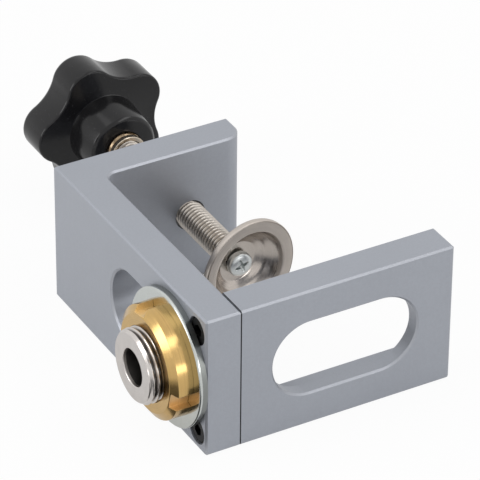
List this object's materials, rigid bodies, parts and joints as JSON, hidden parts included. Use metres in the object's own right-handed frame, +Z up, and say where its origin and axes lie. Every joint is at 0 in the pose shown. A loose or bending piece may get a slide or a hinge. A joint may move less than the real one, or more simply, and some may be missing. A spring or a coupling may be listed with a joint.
{
  "type": "doweling jig",
  "caption": "L-shaped doweling jig with a windowed fence, a sliding drill bush held by a slotted lock nut, and a clamp screw with swivelling cup and star knob.",
  "frame": {"origin": "centre of the jig's box, on the surface it stands on", "axes": "+X along the fence away from the slotted plate, +Y from the fence towards the star knob, +Z up"},
  "size_m": [0.0818, 0.1324, 0.04],
  "materials": {
    "anodised_aluminium": "matt anodised, fine blasted grain, bright broken edges",
    "black_steel": "black oxide",
    "bright_steel": "turned, satin",
    "zinc_steel": "bright zinc plate",
    "nickel_steel": "satin nickel plate",
    "brass": "turned, lightly polished",
    "black_plastic": "glossy moulded",
    "insert_metal": "turned, champagne nickel"
  },
  "bodies": {
    "jig": {"body": "anodised_aluminium", "fence_plate": "anodised_aluminium", "fence_screw_upper": "black_steel", "fence_screw_lower": "black_steel"},
    "cup": {"pressure_cup": "nickel_steel"},
    "clamp": {"clamp_screw": "nickel_steel", "cup_screw": "zinc_steel", "star_knob": "black_plastic", "knob_insert": "insert_metal"},
    "bush": {"drill_bush": "bright_steel"},
    "washer": {"washer": "zinc_steel"},
    "nut": {"lock_nut": "brass"}
  },
  "joints": [
    {"name": "cup_travel", "type": "slide", "parent": "jig", "child": "cup", "axis": [0, -1, 0], "range_m": [-0.022, 0.024]},
    {"name": "screw_turn", "type": "hinge", "parent": "cup", "child": "clamp", "pos_m": [0.00496, -0.00507, 0.02], "axis": [0, -1, 0], "range_deg": [-6340, 6916]},
    {"name": "bush_slide", "type": "slide", "parent": "jig", "child": "bush", "axis": [0, 1, 0], "range_m": [-0.0006, 0.0224]},
    {"name": "washer_travel", "type": "slide", "parent": "bush", "child": "washer", "axis": [-1, 0, 0], "range_m": [0, 0.003]},
    {"name": "nut_turn", "type": "hinge", "parent": "washer", "child": "nut", "pos_m": [-0.03465, -0.04788, 0.02], "axis": [-1, 0, 0], "range_deg": [-2, 722]}
  ],
  "couplings": [
    {"joint": "screw_turn", "follows": "cup_travel", "rad_per_m": 5026.5},
    {"joint": "nut_turn", "follows": "washer_travel", "rad_per_m": 4188.8}
  ]
}
